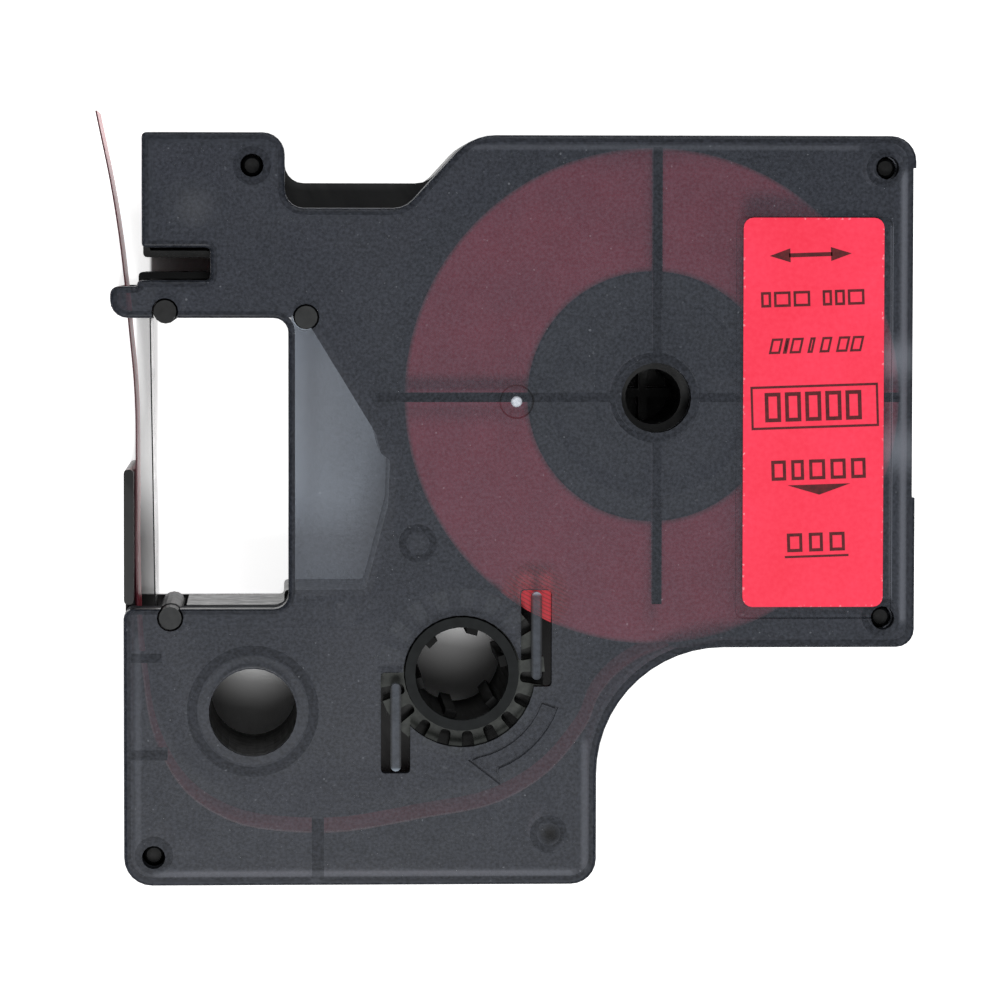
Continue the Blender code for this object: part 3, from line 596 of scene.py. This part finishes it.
def prism_piece(name, outlines, low, high, material):
    """Thin upright prisms on convex outlines in the row frame, in one piece that rides on the case."""
    shape = bmesh.new()
    for outline in outlines:
        lower = [shape.verts.new((x, y, low)) for x, y in outline]
        upper = [shape.verts.new((x, y, high)) for x, y in outline]
        shape.faces.new(lower[::-1])
        shape.faces.new(upper)
        for i in range(len(lower)):
            shape.faces.new((lower[i - 1], lower[i], upper[i], upper[i - 1]))
    bmesh.ops.recalc_face_normals(shape, faces=shape.faces)
    piece = placed_object(name, shape, material)
    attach(piece, "case")


def placed_object(name, shape, material):
    """A new object in the scene from a bmesh, with one material."""
    mesh = bpy.data.meshes.new(name)
    shape.to_mesh(mesh)
    shape.free()
    mesh.materials.append(material)
    placed = bpy.data.objects.new(name, mesh)
    bpy.context.scene.collection.objects.link(placed)
    return placed


def on_label(outlines):
    """Outlines in millimetres right and down from the label's top left corner, in the row frame.

    They are turned by PRINT_TURN about the label's middle.
    """
    middle = ((LABEL_LOW + LABEL_HIGH) / 2).to_2d()
    corner = Vector((LABEL_LOW.x, LABEL_HIGH.y))
    turn = Matrix.Rotation(PRINT_TURN, 2)
    placed = []
    for outline in outlines:
        from_middle = [corner + Vector((x, -y)) * MM - middle for x, y in outline]
        placed.append([tuple(turn @ point + middle) for point in from_middle])
    return placed


def bar(left, top, right, bottom, lean=0.0):
    """A box that may lean to the right by lean millimetres for each millimetre of its height."""
    shift = lean * (bottom - top)
    return [(left, bottom), (right, bottom), (right + shift, top), (left + shift, top)]


def hollow(left, top, right, bottom, stroke, lean=0.0):
    """The four strokes of an empty box."""
    foot, head = bottom - stroke, top + stroke
    low_shift, high_shift = lean * (bottom - head), lean * stroke
    return [
        bar(left, foot, right, bottom, lean),
        [(x + low_shift, y) for x, y in bar(left, top, right, head, lean)],
        [(x + high_shift, y) for x, y in bar(left, head, left + stroke, foot, lean)],
        [(x + high_shift, y) for x, y in bar(right - stroke, head, right, foot, lean)],
    ]


def row_of_boxes(left, top, height, widths, gap, stroke, lean=0.0):
    """Empty boxes in a row, in the place of a line of print. A negative width is a blank."""
    shapes = []
    for width in widths:
        if width > 0:
            shapes += hollow(left, top, left + width, top + height, stroke, lean)
        left += abs(width) + gap
    return shapes


def width_arrow():
    """A double-headed arrow across the label."""
    left, right, level, head, half = 2.35, 8.5, 2.76, 1.55, 0.52
    return [
        bar(left + head - 0.1, level - 0.15, right - head + 0.1, level + 0.15),
        [(left, level), (left + head, level + half), (left + head, level - half)],
        [(right, level), (right - head, level - half), (right - head, level + half)],
    ]


def size_rows():
    """Two rows of empty boxes, of which the second leans."""
    first = (0.75, 1.25, 1.25, -0.5, 0.7, 0.75, 1.25)
    second = (0.85, 0.3, 0.85, -0.1, 0.4, -0.1, 0.75, -0.1, 0.85, 0.85)
    rows = row_of_boxes(1.6, 5.45, 1.15, first, gap=0.22, stroke=0.19)
    return rows + row_of_boxes(2.05, 8.95, 1.15, second, gap=0.2, stroke=0.17, lean=0.25)


def number_frame():
    """Five empty boxes in a frame."""
    frame_strokes = hollow(0.6, 12.5, 10.2, 15.75, 0.17)
    return frame_strokes + row_of_boxes(1.65, 13.0, 2.2, (1.2,) * 5, gap=0.32, stroke=0.28)


def colour_rows():
    """Two rows of empty boxes with a pointer between them and a line below."""
    upper = row_of_boxes(2.0, 18.1, 1.5, (1.1, 0.95, 1.2, 1.15, 1.1), gap=0.4, stroke=0.24)
    pointer = [(5.55, 20.75), (7.9, 19.98), (3.2, 19.98)]
    lower = row_of_boxes(3.02, 23.6, 1.4, (1.15, 1.05, 1.15), gap=0.5, stroke=0.23)
    underline = bar(2.82, 25.28, 7.62, 25.44)
    return [*upper, pointer, *lower, underline]


def label_print():
    """Generic print that says nothing: an arrow, rows of empty boxes, a frame and a pointer."""
    ink = ink_surface()
    low, high = LABEL_HIGH.z + PRINT_LOW * MM, LABEL_HIGH.z + PRINT_HIGH * MM
    prism_piece("label_width_arrow", on_label(width_arrow()), low, high, ink)
    prism_piece("label_size_rows", on_label(size_rows()), low, high, ink)
    prism_piece("label_number_frame", on_label(number_frame()), low, high, ink)
    prism_piece("label_colour_rows", on_label(colour_rows()), low, high, ink)


# ---------------------------------------------------------------- gate vestige, floor, light and camera


def gate_vestige():
    """The pale dot left where the cover was filled: a low dome with a broken-off crown."""
    centre = on_case(*GATE)
    shape = bmesh.new()
    points = [shape.verts.new((radius * MM, 0, height * MM)) for radius, height in GATE_PROFILE]
    for first, second in zip(points, points[1:]):
        shape.edges.new((first, second))
    bmesh.ops.spin(shape, geom=shape.verts[:] + shape.edges[:], axis=(0, 0, 1), angle=math.tau, steps=32)
    bmesh.ops.remove_doubles(shape, verts=shape.verts, dist=1e-6)
    bmesh.ops.recalc_face_normals(shape, faces=shape.faces)
    for face in shape.faces:
        face.smooth = True
    bmesh.ops.translate(shape, vec=(centre.x, centre.y, FACE_Z), verts=shape.verts)
    piece = placed_object("gate_vestige", shape, vestige_surface())
    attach(piece, "case")


def stage_and_light():
    """A plain white floor just under the part, soft daylight and two softboxes."""
    shape = bmesh.new()
    bmesh.ops.create_grid(shape, x_segments=1, y_segments=1, size=2.0)
    floor = placed_object("floor", shape, floor_surface())
    floor.location.z = -0.05 * MM

    world = bpy.data.worlds.new("studio")
    bpy.context.scene.world = world
    world.use_nodes = True
    background = world.node_tree.nodes["Background"]
    background.inputs["Color"].default_value = (1, 1, 1, 1)
    background.inputs["Strength"].default_value = 0.2
    for name, (place, size, power) in SOFTBOXES.items():
        softbox(name, place, size, power)


def softbox(name, place, size, power):
    """A square lamp that shines at the origin."""
    light = bpy.data.lights.new(name, "AREA")
    light.size = size
    light.energy = power
    lamp = bpy.data.objects.new(name, light)
    lamp.location = place
    lamp.rotation_euler = (-Vector(place)).to_track_quat("-Z", "Y").to_euler()
    bpy.context.scene.collection.objects.link(lamp)


def camera():
    """Looks almost straight down on the front face, from above the tape's exit."""
    eye = on_case(*EYE) + Vector((0, 0, FACE_Z + STAND * MM))
    aim = on_case(*AIM) + Vector((0, 0, FACE_Z))
    data = bpy.data.cameras.new("camera")
    data.sensor_width = SENSOR_WIDTH
    data.lens = SENSOR_WIDTH / (VIEW_WIDTH * MM) * (eye - aim).length
    data.clip_start = 0.01
    data.clip_end = 10
    back = (eye - aim).normalized()
    right = Vector((0, 1, 0)).cross(back).normalized()
    up = back.cross(right)
    roll = Matrix.Rotation(CAMERA_ROLL, 3, back)
    turn = roll @ Matrix((right, up, back)).transposed()
    obj = bpy.data.objects.new("camera", data)
    obj.matrix_world = Matrix.Translation(eye) @ turn.to_4x4()
    bpy.context.scene.collection.objects.link(obj)
    bpy.context.scene.camera = obj


dress_nodes()
label_print()
gate_vestige()
stage_and_light()
camera()
scene = bpy.context.scene
scene.view_settings.view_transform = "Standard"
scene.cycles.transparent_max_bounces = 24
